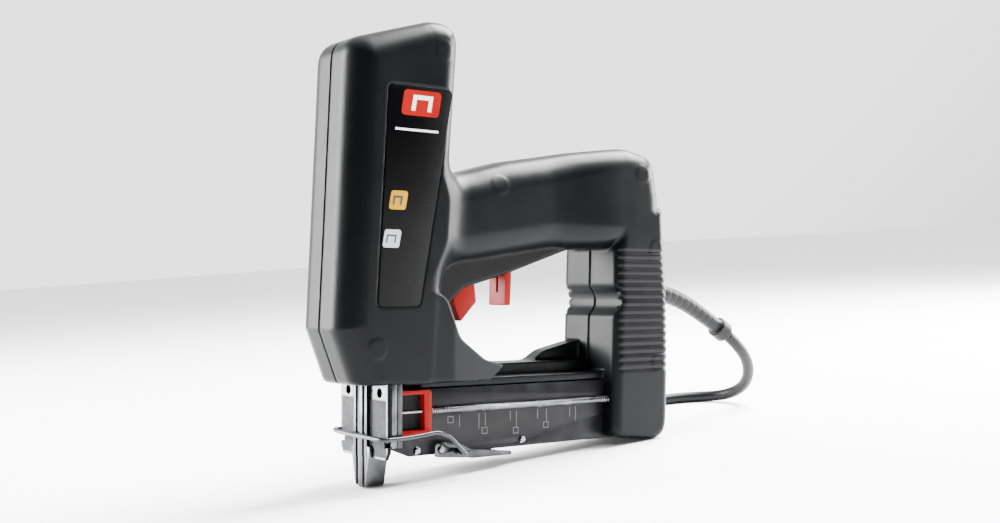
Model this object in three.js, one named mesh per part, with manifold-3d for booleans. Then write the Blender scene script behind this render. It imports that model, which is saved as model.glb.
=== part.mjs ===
// Electric staple gun, in millimetres, +Z up.
// Tool coordinates: X runs from the nose to the rear of the grip, +Y is the right side, and Z is up
// with the nose tip at Z = 0. The parting plane of the two housing halves is Y = 0.
// The whole tool is then tilted so that it stands on its nose tip and on the rear of its foot.
import * as THREE from 'three';
import { mergeVertices } from 'three/addons/utils/BufferGeometryUtils.js';
import Module from 'manifold-3d';

const wasm = await Module();
wasm.setup();

// ---- driving dimensions ----
const GAP = 0.3;
const WALL = 2.6;
const TILT_DEG = 4.5;
const STAND = { x: -88.91, z: 0.88 };
const TOWER_HALF = 24;
const GRIP_HALF = 19.5;
const COLUMN_HALF = 24;
const WEB_HALF = 12;
const DRIVE_X = 6.2;
const STROKE = 46;
const NOSE_HALF = 22.5;
const MAGAZINE_HALF = 13;
const PLATE = 1;
const SPRING_Y = -15.6;
const SPRING_Z = 36.5;
const LATCH_PIVOT = { x: 37, z: 17 };
const BAIL_EYE = { x: 48.2, z: 15.2 };
const BAIL_HALF = 24.3;
const BAIL_D = 2.2;
const TRIGGER_PIVOT = { x: 97, z: 117 };
const CORD_D = 7;
const COIL = { x: 43.5, y: 102, meanR: 38.5, rows: 3 };
const FAR = 400;

// ---- shape helpers ----
function solid(geometry) {
  geometry.deleteAttribute('normal');
  geometry.deleteAttribute('uv');
  const merged = mergeVertices(geometry, 1e-4);
  const corners = merged.index.array;
  const triVerts = [];
  for (let i = 0; i < corners.length; i += 3) {
    const [a, b, c] = corners.slice(i, i + 3);
    if (a !== b && b !== c && c !== a) triVerts.push(a, b, c);
  }
  return new wasm.Manifold(new wasm.Mesh({
    numProp: 3,
    vertProperties: new Float32Array(merged.attributes.position.array),
    triVerts: new Uint32Array(triVerts),
  }));
}

function join(first, ...rest) {
  return rest.reduce((sum, next) => sum.add(next), first);
}

function cut(body, ...tools) {
  return tools.reduce((left, tool) => left.subtract(tool), body);
}

function box(x, y, z) {
  const geometry = new THREE.BoxGeometry(x[1] - x[0], y[1] - y[0], z[1] - z[0]);
  geometry.translate((x[0] + x[1]) / 2, (y[0] + y[1]) / 2, (z[0] + z[1]) / 2);
  return solid(geometry);
}

// A closed outline through corners [u, v, radius], each corner rounded by its radius.
function outline(corners) {
  const shape = new THREE.Shape();
  corners.forEach(([u, v, radius = 0], i) => {
    const here = new THREE.Vector2(u, v);
    const previous = corners[(i + corners.length - 1) % corners.length];
    const following = corners[(i + 1) % corners.length];
    const back = new THREE.Vector2(previous[0], previous[1]).sub(here).normalize();
    const ahead = new THREE.Vector2(following[0], following[1]).sub(here).normalize();
    const setback = radius / Math.tan(Math.acos(back.dot(ahead)) / 2);
    const start = here.clone().addScaledVector(back, setback);
    if (i === 0) shape.moveTo(start.x, start.y);
    else shape.lineTo(start.x, start.y);
    if (radius > 0) {
      const end = here.clone().addScaledVector(ahead, setback);
      shape.quadraticCurveTo(u, v, end.x, end.y);
    }
  });
  return shape;
}

// The same corners moved inwards by a distance; corners run anticlockwise.
function inset(corners, distance) {
  return corners.map(([u, v, radius = 0], i) => {
    const [pu, pv] = corners[(i + corners.length - 1) % corners.length];
    const [nu, nv] = corners[(i + 1) % corners.length];
    const into = new THREE.Vector2(u - pu, v - pv).normalize();
    const out = new THREE.Vector2(nu - u, nv - v).normalize();
    const normal = new THREE.Vector2(-into.y - out.y, into.x + out.x).normalize();
    const reach = distance / (-into.y * normal.x + into.x * normal.y);
    const turnsLeft = into.cross(out) > 0;
    const inner = Math.max(0, turnsLeft ? radius - distance : radius + distance);
    return [u + normal.x * reach, v + normal.y * reach, radius > 0 ? inner : 0];
  });
}

function extrude(shape, depth, bevel) {
  return new THREE.ExtrudeGeometry(shape, {
    depth: depth - 2 * bevel,
    curveSegments: 4,
    bevelEnabled: bevel > 0,
    bevelThickness: bevel,
    bevelSize: bevel,
    bevelOffset: -bevel,
    bevelSegments: 2,
  });
}

// An outline in X and Z, extruded along Y.
function slab(corners, y, bevel = 0) {
  const geometry = extrude(outline(corners), y[1] - y[0], bevel);
  geometry.rotateX(Math.PI / 2);
  geometry.translate(0, y[1] - bevel, 0);
  return solid(geometry);
}

// An outline in X and Y, extruded along Z, leaning by lean in X for each unit of Z above its base.
function pillar(corners, z, lean = 0) {
  const geometry = extrude(outline(corners), z[1] - z[0], 0);
  geometry.applyMatrix4(new THREE.Matrix4().set(1, 0, lean, 0, 0, 1, 0, 0, 0, 0, 1, z[0], 0, 0, 0, 1));
  return solid(geometry);
}

// An outline in Y and Z, extruded along X.
function sheet(corners, x) {
  const geometry = extrude(outline(corners), x[1] - x[0], 0);
  geometry.rotateX(Math.PI / 2);
  geometry.rotateZ(Math.PI / 2);
  geometry.translate(x[0], 0, 0);
  return solid(geometry);
}

// A turned shape: profile pairs [radius, along], on the axis named, with its zero at centre.
function turned(profile, axis, centre, segments = 20) {
  const points = profile.map(([r, along]) => new THREE.Vector2(r, along));
  const geometry = new THREE.LatheGeometry(points, segments);
  if (axis === 'z') geometry.rotateX(Math.PI / 2);
  if (axis === 'x') geometry.rotateZ(-Math.PI / 2);
  geometry.translate(...centre);
  return solid(geometry);
}

function rod(radius, axis, from, to, across, segments = 16) {
  const profile = [[0, from], [radius, from], [radius, to], [0, to]];
  const centre = { x: [0, ...across], y: [across[0], 0, across[1]], z: [...across, 0] }[axis];
  return turned(profile, axis, centre, segments);
}

function tubeAlong(points, diameter, sides, steps) {
  const path = new THREE.CatmullRomCurve3(points.map((p) => new THREE.Vector3(...p)), false, 'centripetal');
  const section = new THREE.Shape();
  for (let i = 0; i < sides; i += 1) {
    const angle = (2 * Math.PI * i) / sides;
    const at = [Math.cos(angle) * diameter / 2, Math.sin(angle) * diameter / 2];
    if (i === 0) section.moveTo(...at);
    else section.lineTo(...at);
  }
  return solid(new THREE.ExtrudeGeometry(section, { extrudePath: path, steps, bevelEnabled: false }));
}

// A helical spring about an axis along +Z from z[0] to z[1], at x, y.
function coilSpring(x, y, z, meanR, wire, turns, sides = 5, perTurn = 8) {
  const points = [];
  const count = turns * perTurn;
  for (let i = 0; i <= count; i += 1) {
    const angle = (2 * Math.PI * i) / perTurn;
    const height = z[0] + wire / 2 + ((z[1] - z[0] - wire) * i) / count;
    points.push([x + meanR * Math.cos(angle), y + meanR * Math.sin(angle), height]);
  }
  return tubeAlong(points, wire, sides, count);
}

function material(color, roughness, metalness) {
  return new THREE.MeshStandardMaterial({ color, roughness, metalness });
}

const housingBlack = material(0x1b1c1f, 0.38, 0);
const labelBlack = material(0x141518, 0.3, 0);
const safetyRed = material(0xe6321a, 0.35, 0);
const brightSteel = material(0xc4c6c8, 0.25, 1);
const darkSteel = material(0x4a4c50, 0.4, 1);
const blackSteel = material(0x202226, 0.42, 0.6);
const copper = material(0xb5622b, 0.35, 0.9);
const whitePlastic = material(0xe4e0d4, 0.5, 0);
const boardGreen = material(0x2e6b3a, 0.6, 0);
const rubber = material(0x15161a, 0.7, 0);

const tool = new THREE.Group();
const cordGroup = new THREE.Group();

function piece(name, body, look, group = tool) {
  const { vertProperties, triVerts } = body.getMesh();
  const geometry = new THREE.BufferGeometry();
  geometry.setAttribute('position', new THREE.BufferAttribute(new Float32Array(vertProperties), 3));
  geometry.setIndex(new THREE.BufferAttribute(new Uint32Array(triVerts), 1));
  geometry.computeVertexNormals();
  const mesh = new THREE.Mesh(geometry, look);
  mesh.name = name;
  group.add(mesh);
}

// ---- housing ----
const TOWER = [[-12.3, 50.5, 4], [33, 50.5, 5], [47, 229.8, 13], [29, 227.9, 10], [-15.2, 214.9, 12],
  [-20.1, 120, 0], [-22.4, 77, 6]];
const HANDLE = [[28, 106], [62, 110], [112, 117.5, 20], [150, 119], [184.6, 106], [183, 148, 20], [178.7, 171, 12],
  [159, 174.8, 30], [123, 170.3], [82, 163.3], [58, 157], [30, 152]];
const COLUMN = [[145, 16.3, 6], [185.4, 11.5, 12], [186.6, 61], [186, 90.5], [183.6, 119],
  [182.4, 142], [154, 140], [148, 118]];
const WEB = [[28, 82], [37, 82], [55, 97], [84, 105], [125, 118.5], [125, 124], [28, 124]];
const FLARE = [[24, 50.5], [66, 50.5], [76, 57.5, 1], [62, 61, 10], [45, 72, 12], [36, 95, 10], [24, 95]];
const FLARE_PLAN = [[20, -24], [40, -23.5], [77, -16.5], [77, 16.5], [40, 23.5], [20, 24]];
const RIB = { count: 16, pitch: 4.3, top: 118, depth: 0.9, height: 1.6 };
const BAR_Z = 47.6;

function towerBody(t) {
  const half = TOWER_HALF - t;
  const plan = inset([[-24.6, -TOWER_HALF, 14], [36, -TOWER_HALF, 11], [36, TOWER_HALF, 11],
    [-24.6, TOWER_HALF, 14]], t);
  const side = slab(inset(TOWER, t), [-half, half], t > 0 ? 0 : 1.8);
  return side.intersect(pillar(plan, [40, 235], 0.055));
}

function columnBody(t) {
  const half = COLUMN_HALF - t;
  return slab(inset(COLUMN, t), [-half, half], t > 0 ? 0 : 4);
}

function handleBody(t) {
  const half = GRIP_HALF - t;
  return slab(inset(HANDLE, t), [-half, half], t > 0 ? 6 : 8.5);
}

function housingBody(t) {
  const web = slab(inset(WEB, t), [-WEB_HALF + t, WEB_HALF - t]);
  return join(towerBody(t), handleBody(t), columnBody(t), web);
}

function housing() {
  const flare = slab(FLARE, [-TOWER_HALF, TOWER_HALF]).intersect(pillar(FLARE_PLAN, [45, 100]));
  const leftBar = box([26, 152], [-13.4, 1], [BAR_Z, 51.6]);
  const rightBar = box([26, 152], [0, 20], [BAR_Z, 57.5]);
  const gusset = cut(
    slab([[110, 56], [152, 56], [152, 69], [140, 67, 20], [122, 63, 14]], [8, 18]),
    slab([[128, 58.5], [144, 58.5], [144, 65]], [7, 19]),
  );
  const hollow = cut(housingBody(WALL), rod(9 + WALL, 'y', -FAR, FAR, [142.5, 90.5], 32));
  const magazineSlot = box([8, 177.5], [-13.7, 13.7], [0, BAR_Z - GAP]);
  const springSlot = box([140, 176], [-18.2, -13], [33.5, 39.5]);
  const noseSlot = box([1.9, 11.2], [-NOSE_HALF - GAP, NOSE_HALF + GAP], [45, 64]);
  const bladeSlot = box([4, 9], [-4, 4], [40, 80]);
  const triggerSlot = box([80, 93], [-7.5, 7.5], [95, 122]);
  const lockSlot = box([49, 66.5], [-7.5, 7.5], [76, 116]);
  const pusherRoom = box([8, 66], [-FAR, -13.4], [40, 49.2]);
  const scoop = rod(9, 'y', -FAR, FAR, [142.5, 90.5], 32);
  const cordHole = rod(5.6, 'x', 176, FAR, [0, 94.5]);
  const body = cut(
    join(housingBody(0), flare, leftBar, rightBar, gusset),
    hollow,
    magazineSlot,
    springSlot,
    noseSlot,
    bladeSlot,
    triggerSlot,
    lockSlot,
    pusherRoom,
    scoop,
    cordHole,
  );
  const grooves = [];
  for (let i = 0; i < RIB.count; i += 1) {
    const z = RIB.top - i * RIB.pitch;
    for (const side of [-1, 1]) {
      const y = [side * (COLUMN_HALF - RIB.depth), side * (COLUMN_HALF + 2)].sort((a, b) => a - b);
      grooves.push(box([143, 202], y, [z - RIB.height, z]));
    }
  }
  return cut(body, ...grooves);
}

const SCREWS = [[34, 213], [-4, 68], [72, 150], [166, 160], [176, 119], [178, 56]];
const SCREW = { head: 3.6, shank: 1.7, bossR: 4.6 };

function bosses() {
  return SCREWS.map(([x, z]) => rod(SCREW.bossR, 'y', -22.5, 22.5, [x, z], 14));
}

function screwTool([x, z], extra, half) {
  const sinkY = half - 3;
  const shank = SCREW.shank + extra;
  const head = SCREW.head + extra;
  const foot = -12 - extra;
  const neck = sinkY - 2 - extra;
  const top = extra > 0 ? FAR : sinkY;
  const profile = [[0, foot], [shank, foot], [shank, neck], [head, neck], [head, top], [0, top]];
  return turned(profile, 'y', [x, 0, z], 14);
}

function screwHalf([x]) {
  return x > 60 && x < 175 ? GRIP_HALF : TOWER_HALF;
}

const shellBody = housing();
const solidForm = housingBody(0);
const bossBodies = bosses().map((boss) => boss.intersect(solidForm));
const screwHoles = SCREWS.map((screw) => screwTool(screw, GAP, screwHalf(screw)));
const LABEL = [[-4, 88, 3], [19.5, 88, 3], [39, 194, 3], [2.5, 194, 3]];
const labelPocket = slab(inset(LABEL, -GAP), [-TOWER_HALF - 1, -TOWER_HALF + 0.7]);
const closed = cut(join(shellBody, ...bossBodies), ...screwHoles, labelPocket);
piece('left_housing', closed.intersect(box([-FAR, FAR], [-FAR, -GAP / 2], [-FAR, FAR])), housingBlack);
piece('right_housing', closed.intersect(box([-FAR, FAR], [GAP / 2, FAR], [-FAR, FAR])), housingBlack);
piece('side_label', slab(LABEL, [-TOWER_HALF, -TOWER_HALF + 0.4]), labelBlack);
SCREWS.forEach((screw, i) => {
  const [x, z] = screw;
  const socket = rod(1.5, 'y', screwHalf(screw) - 4.6, FAR, [x, z], 6);
  piece(`housing_screw_${i + 1}`, cut(screwTool(screw, 0, screwHalf(screw)), socket), darkSteel);
});

// ---- drive ----
const YOKE = { x: [-12.6, 25], half: 17, z: [76, 142], wall: 5 };

function yoke() {
  const frame = box(YOKE.x, [-YOKE.half, YOKE.half], YOKE.z);
  const windowX = [YOKE.x[0] + 4.3, YOKE.x[1] - 4.3];
  const windowZ = [YOKE.z[0] + YOKE.wall, YOKE.z[1] - YOKE.wall];
  const window = box(windowX, [-20, 20], windowZ);
  return cut(frame, window, rod(8.7, 'z', 70, 150, [DRIVE_X, 0]));
}

function ring(inner, outer, z, segments = 24) {
  return turned([[inner, z[0]], [outer, z[0]], [outer, z[1]], [inner, z[1]], [inner, z[0]]], 'z',
    [DRIVE_X, 0, 0], segments);
}

piece('solenoid_yoke', yoke(), darkSteel);
const bobbinFlanges = [[81.4, 83], [135, 136.6]].map((z) => ring(8.7, 14, z));
piece('coil_bobbin', join(ring(8.7, 9.8, [81.4, 136.6]), ...bobbinFlanges), whitePlastic);
piece('coil_winding', ring(10.1, 13.6, [83.3, 134.7]), copper);
piece('driver_bumper', ring(4.2, 8.3, [76.4, 81.2]), rubber);

const PLUNGER = { r: 8.3, z: [128, 206], capR: 12.5, capTop: 209.5 };
const plungerProfile = [
  [0, PLUNGER.z[0]], [PLUNGER.r, PLUNGER.z[0]], [PLUNGER.r, PLUNGER.z[1]],
  [PLUNGER.capR, PLUNGER.z[1]], [PLUNGER.capR, PLUNGER.capTop], [0, PLUNGER.capTop],
];
const plungerBlank = turned(plungerProfile, 'z', [DRIVE_X, 0, 0], 24);
const bladeCut = box([DRIVE_X - 0.9, DRIVE_X + 0.9], [-3.4, 3.4], [120, 140]);
const pinCut = rod(1.5, 'x', -20, 40, [0, 134], 14);
piece('plunger', cut(plungerBlank, bladeCut, pinCut), brightSteel);
piece('driver_pin', rod(1.2, 'x', DRIVE_X - 7.5, DRIVE_X + 7.5, [0, 134], 14), brightSteel);
const bladeBlank = box([DRIVE_X - 0.6, DRIVE_X + 0.6], [-3, 3], [STROKE + 0.5, 139.6]);
piece('driver_blade', cut(bladeBlank, pinCut), brightSteel);
piece('return_spring', coilSpring(DRIVE_X, 0, [142.3, 205.7], 10.2, 1.3, 9), brightSteel);

function circuitBoard() {
  return join(
    box([29.5, 31.1], [-15, 15], [118, 190]),
    box([31, 37.5], [-12, -2], [150, 180]),
    rod(5, 'x', 31, 38.5, [6, 172], 14),
    box([31, 36], [0, 12], [125, 145]),
  );
}
piece('circuit_board', circuitBoard(), boardGreen);

// ---- trigger group ----
function trigger() {
  const blade = slab([[83, 88, 1], [86.6, 88, 1], [87.6, 108], [88, 112], [83.6, 112]], [-7, 7]);
  const armSide = [
    [83.6, 111], [90, 113.9], [101.5, 113.9], [107, 116.4], [107, 121, 2], [90, 121, 2], [83.6, 116],
  ];
  const arm = slab(armSide, [-6.6, 6.6]);
  const slot = box([82, 84.4], [-0.9, 0.9], [95, 110]);
  return cut(join(blade, arm), slot, rod(2.1, 'y', -20, 20, [TRIGGER_PIVOT.x, TRIGGER_PIVOT.z], 14));
}

piece('trigger', trigger(), safetyRed);
piece('trigger_pin', rod(1.8, 'y', -9, 9, [TRIGGER_PIVOT.x, TRIGGER_PIVOT.z], 14), brightSteel);
piece('trigger_spring', coilSpring(99.5, 0, [121.4, 131.6], 2.4, 0.7, 5, 4), brightSteel);
const switchBody = box([88, 110], [-5, 5], [132, 146]);
const switchPlunger = box([104, 106], [-2, 2], [122.8, 133]);
piece('trigger_switch', join(switchBody, switchPlunger), rubber);
const lockSide = [[55, 79.5, 1], [65, 90, 1], [64, 98], [64, 106], [52, 106], [50.5, 90, 1]];
piece('trigger_lock', slab(lockSide, [-7, 7]), safetyRed);
piece('lock_spring', coilSpring(58, 0, [106.4, 116.5], 2.6, 0.7, 5, 4), brightSteel);

// ---- nose ----
const LAYER = { plate: [2.2, 4.4], spacer: [4.7, 7.7], block: [8, 10.6] };
const EAR = [[NOSE_HALF, 18.5], [NOSE_HALF - 2.5, 14.5]];

function nosePlate() {
  const [[earY, earZ], [tipY, tipZ]] = EAR;
  const corners = [
    [-tipY, tipZ, 1], [-9.3, 14.5], [-9.3, 20.4], [9.3, 20.4], [9.3, 14.5],
    [tipY, tipZ, 1], [earY, earZ, 1], [NOSE_HALF, 63], [-NOSE_HALF, 63], [-earY, earZ, 1],
  ];
  const holes = [];
  for (const side of [-1, 1]) {
    holes.push(rod(2.3, 'x', 0, 10, [side * 15, 46.5], 16));
    const notch = [side * (NOSE_HALF - 3), side * (NOSE_HALF + 2)].sort((a, b) => a - b);
    holes.push(box([0, 10], notch, [20.6, 23.2]));
  }
  return cut(sheet(corners, LAYER.plate), ...holes);
}

function spacer(side) {
  const y = [side * 3.5, side * NOSE_HALF].sort((a, b) => a - b);
  return box(LAYER.spacer, y, [20.4, 63]);
}

function noseBlock() {
  const blank = box(LAYER.block, [-NOSE_HALF, NOSE_HALF], [20.4, 63]);
  return cut(blank, box([0, 20], [-3.5, 3.5], [16, 46]));
}

function driverChannel() {
  const tipFace = [[-4.6, 0, 3], [4.6, 0, 3], [8.6, 17], [8.6, 20.1], [-8.6, 20.1], [-8.6, 17]];
  const tip = sheet(tipFace, [0.4, 11]);
  const strip = box([0.2, 1.9], [-6.3, 6.3], [15, 49.8]);
  const flutes = [-3.1, 3.1].map((y) => box([-1, 1.2], [y - 1.1, y + 1.1], [-1, 60]));
  const exit = box([DRIVE_X - 1, DRIVE_X + 1], [-3.5, 3.5], [-1, 30]);
  return cut(join(tip, strip), exit, ...flutes);
}

piece('nose_front_plate', nosePlate(), brightSteel);
piece('nose_spacer_left', spacer(-1), brightSteel);
piece('nose_spacer_right', spacer(1), brightSteel);
piece('nose_block', noseBlock(), darkSteel);
piece('driver_channel', driverChannel(), brightSteel);

// ---- magazine ----
const MAG = { front: 11.2, rear: 177, top: 47 };
const PINS = [[25, 17], [90, 18.2]];
const PLATE_SIDE = [
  [MAG.front, 18], [20, 14.4], [MAG.rear, 15.2], [MAG.rear, MAG.top], [MAG.front, MAG.top],
];
const pinHoles = PINS.map((at) => rod(1.9, 'y', -40, 40, at, 14));

function leftPlate() {
  const plate = slab(PLATE_SIDE, [-MAGAZINE_HALF, -MAGAZINE_HALF + PLATE]);
  const tabSpans = [[MAG.front, MAG.front + 1.5], [170, 171.5]];
  const tabs = tabSpans.map((x) => box(x, [-17.8, -12.5], [34.2, 38.8]));
  const slot = box([14, 141], [-20, -11], [34.8, 38.2]);
  return cut(join(plate, ...tabs), slot, rod(1.1, 'x', 0, 200, [SPRING_Y, SPRING_Z], 12), ...pinHoles,
    rod(1.9, 'y', -40, -5, [LATCH_PIVOT.x, LATCH_PIVOT.z], 14));
}

function rightPlate() {
  return cut(slab(PLATE_SIDE, [MAGAZINE_HALF - PLATE, MAGAZINE_HALF]), ...pinHoles,
    rod(1.9, 'y', 5, 40, [LATCH_PIVOT.x, LATCH_PIVOT.z], 14));
}

piece('magazine_left_plate', leftPlate(), blackSteel);
piece('magazine_right_plate', rightPlate(), blackSteel);
piece('staple_rail', box([MAG.front, 170.7], [-2.2, 2.2], [22.5, 42]), darkSteel);
piece('magazine_end_block', box([171, MAG.rear], [-11.7, 11.7], [16, 46.6]), blackSteel);
PINS.forEach((at, i) => piece(`magazine_pin_${i + 1}`, rod(1.6, 'y', -14, 14, at, 14), brightSteel));
piece('guide_rod', rod(0.8, 'x', MAG.front - 0.3, 171.8, [SPRING_Y, SPRING_Z], 10), brightSteel);

function pusherGrip() {
  const shell = slab([[13, 25.6, 1], [30, 25.6, 2], [30, 47.1, 2], [13, 47.1, 1]], [-18.4, -13.3]);
  const recess = box([10, 25.8], [-19, -14.4], [27.6, 45.1]);
  return cut(shell, recess, rod(1.2, 'x', 0, 60, [SPRING_Y, SPRING_Z], 12));
}

function pusherCarriage() {
  const block = box([14, 34], [-11.6, 11.6], [22.5, 45.5]);
  const tab = box([20, 30], [-12.95, -11], [35.2, 37.8]);
  return cut(join(block, tab), box([0, 60], [-2.6, 2.6], [0, 42.4]));
}

piece('pusher_grip', pusherGrip(), safetyRed);
piece('pusher_carriage', pusherCarriage(), darkSteel);

function pusherSpring() {
  const along = new THREE.Matrix4().set(0, 0, 1, 0, 1, 0, 0, SPRING_Y, 0, 1, 0, SPRING_Z, 0, 0, 0, 1);
  const perTurn = 5;
  const turns = 30;
  const points = [];
  for (let i = 0; i <= turns * perTurn; i += 1) {
    const angle = (2 * Math.PI * i) / perTurn;
    const x = 30.6 + (139 * i) / (turns * perTurn);
    points.push(new THREE.Vector3(1.6 * Math.cos(angle), 1.6 * Math.sin(angle), x).applyMatrix4(along));
  }
  return tubeAlong(points.map((p) => p.toArray()), 0.5, 3, turns * perTurn);
}
piece('pusher_spring', pusherSpring(), brightSteel);

// ---- latch ----
function latchLever() {
  const cheek = [
    [33.4, 13.4, 2], [50, 12], [80.6, 11.2, 1], [80.6, 13.2, 1],
    [56, 15.8], [49, 19, 2], [40.6, 20.6, 3], [33.4, 20.6, 3],
  ];
  const cheeks = [-1, 1].map((side) => {
    const y = [side * 15.2, side * 16.2].sort((a, b) => a - b);
    return slab(cheek, y);
  });
  const bridge = box([56, 80], [-15.8, 15.8], [11.2, 12.4]);
  const hole = rod(1.9, 'y', -40, 40, [LATCH_PIVOT.x, LATCH_PIVOT.z], 14);
  const eye = rod(BAIL_D / 2 + GAP, 'y', -40, 40, [BAIL_EYE.x, BAIL_EYE.z], 14);
  return cut(join(...cheeks, bridge), hole, eye);
}

const bailSide = [[BAIL_EYE.x - 2, BAIL_EYE.z], [43, 18], [36, 24], [29.5, 26.2], [20, 25.2], [6, 24.6]];
function latchWire() {
  const half = BAIL_HALF;
  const near = bailSide.map(([x, z]) => [x, -half, z]);
  const far = bailSide.map(([x, z]) => [x, half, z]).reverse();
  const path = [
    [BAIL_EYE.x, -14, BAIL_EYE.z], [BAIL_EYE.x, -17, BAIL_EYE.z], [BAIL_EYE.x, -half + 3, BAIL_EYE.z],
    ...near, [0, -half + 0.5, 24.6], [-1.2, -half + 4, 24.6], [-1.2, -half / 2, 24.6],
    [-1.2, half / 2, 24.6], [-1.2, half - 4, 24.6], [0, half - 0.5, 24.6],
    ...far, [BAIL_EYE.x, half - 3, BAIL_EYE.z], [BAIL_EYE.x, 17, BAIL_EYE.z], [BAIL_EYE.x, 14, BAIL_EYE.z],
  ];
  return tubeAlong(path, BAIL_D, 6, 48);
}
piece('latch_lever', latchLever(), brightSteel);
piece('latch_wire', latchWire(), brightSteel);
piece('latch_pivot', rod(1.6, 'y', -17.4, 17.4, [LATCH_PIVOT.x, LATCH_PIVOT.z], 14), brightSteel);

// ---- mains lead, from the housing to the plug ----
const RELIEF_PATH = [
  [179.5, 0, 94.5], [193, 0, 94.5], [207, 0, 93.2], [222, 0, 88.2], [239, 0, 79.8], [256, 0, 70],
];

function strainRelief() {
  const sleeve = tubeAlong(RELIEF_PATH, 10.2, 12, 12);
  const collar = tubeAlong(RELIEF_PATH.slice(-2), 12.6, 12, 1);
  const collarOnly = collar.intersect(box([249.5, FAR], [-9, 9], [0, FAR]));
  return join(sleeve, collarOnly);
}

piece('strain_relief', strainRelief(), rubber);
piece('cable_clamp', cut(box([171.5, 177.5], [-11.5, 11.5], [100.4, 103]),
  ...[-8.5, 8.5].map((y) => rod(1.6, 'z', 90, 110, [174.5, y], 12))), brightSteel);
[-8.5, 8.5].forEach((y, i) => {
  const profile = [[0, 90], [1.3, 90], [1.3, 103.3], [2.5, 103.3], [2.5, 105], [0, 105]];
  const screw = turned(profile, 'z', [174.5, y, 0], 12);
  piece(`clamp_screw_${i + 1}`, screw, darkSteel);
});

// The lead in standing coordinates, from the end of the strain relief to the coil on the surface.
const LEAD = [
  [172.5, 0, 50.2], [180.9, 0.2, 43.3], [189.6, 2.2, 36.1], [197.6, 6.4, 28.5], [204.3, 12.5, 21],
  [209, 20.1, 14.2], [211.6, 28.6, 9.2], [211.8, 37.6, 5.8], [209.6, 46.2, 4.1], [205.2, 54, 3.6],
  [197, 61.1, 3.6], [187.3, 65.8, 3.6], [176.5, 68, 3.6], [157.5, 68.2, 3.6], [137.5, 66.6, 3.6],
  [115.5, 64.2, 3.6], [95.5, 63.5, 3.6], [78.9, 63.5, 3.6],
];
const COIL_BASE = 1.4;
const COIL_HALF = (COIL.rows * CORD_D) / 2;
const TIE = { thick: 1, width: 8 };
const PLUG = { x: 89.5, y: COIL.y + COIL.meanR, half: 17.6, length: 36, z: [0.1, 13.8] };
const PIN = { apart: 19, r: 2, length: 19 };

function coilBody() {
  const [inner, outer] = [COIL.meanR - COIL_HALF, COIL.meanR + COIL_HALF];
  const top = COIL_BASE + 2 * COIL_HALF;
  const section = [[inner, COIL_BASE], [outer, COIL_BASE], [outer, top], [inner, top], [inner, COIL_BASE]];
  return turned(section, 'z', [COIL.x, COIL.y, 0], 32);
}

function coilTie() {
  const centre = COIL.x - COIL.meanR;
  const z = COIL_BASE + COIL_HALF;
  const inner = COIL_HALF + GAP;
  const outer = inner + TIE.thick;
  const y = [COIL.y - TIE.width / 2, COIL.y + TIE.width / 2];
  const innerX = [centre - inner - 0.6, centre + inner + 0.6];
  const outerX = [centre - outer - 0.6, centre + outer + 0.6];
  const room = box(innerX, [y[0] - 1, y[1] + 1], [z - inner, z + inner]);
  return cut(box(outerX, y, [z - outer, z + outer]), room);
}

function plugBody() {
  const neck = 7;
  const end = PLUG.x + PLUG.length;
  const corners = [
    [PLUG.x, PLUG.y - neck, 2], [PLUG.x + 12, PLUG.y - neck - 3, 4], [PLUG.x + 20, PLUG.y - PLUG.half, 4],
    [end, PLUG.y - PLUG.half, 2], [end, PLUG.y + PLUG.half, 2],
    [PLUG.x + 20, PLUG.y + PLUG.half, 4], [PLUG.x + 12, PLUG.y + neck + 3, 4], [PLUG.x, PLUG.y + neck, 2],
  ];
  return pillar(corners, PLUG.z);
}

piece('cord_lead', tubeAlong(LEAD, CORD_D, 8, 24), rubber, cordGroup);
piece('cord_coil', coilBody(), rubber, cordGroup);
piece('coil_tie', coilTie(), rubber, cordGroup);
const tailStart = COIL_BASE + CORD_D * 1.2;
const plugMid = (PLUG.z[0] + PLUG.z[1]) / 2;
const TAIL = [[78.9, PLUG.y, tailStart], [83.5, PLUG.y, tailStart - 1.2], [PLUG.x - 1.3, PLUG.y, plugMid]];
piece('cord_tail', tubeAlong(TAIL, CORD_D, 8, 3), rubber, cordGroup);
piece('plug_body', plugBody(), rubber, cordGroup);
[-1, 1].forEach((side, i) => {
  const from = PLUG.x + PLUG.length + GAP;
  const at = [PLUG.y + side * PIN.apart / 2, plugMid];
  const pin = rod(PIN.r, 'x', from, from + PIN.length, at, 12);
  piece(`plug_pin_${i + 1}`, pin, brightSteel, cordGroup);
});

tool.rotation.y = THREE.MathUtils.degToRad(TILT_DEG);
tool.position.set(STAND.x, 0, STAND.z);
const stapleGun = new THREE.Group();
stapleGun.add(tool, cordGroup);

export default stapleGun;
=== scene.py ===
"""Electric staple gun: visible shells, steel parts, springs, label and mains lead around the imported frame."""
import math

import bmesh
import bpy
import numpy as np
from mathutils import Matrix, Vector


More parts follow.
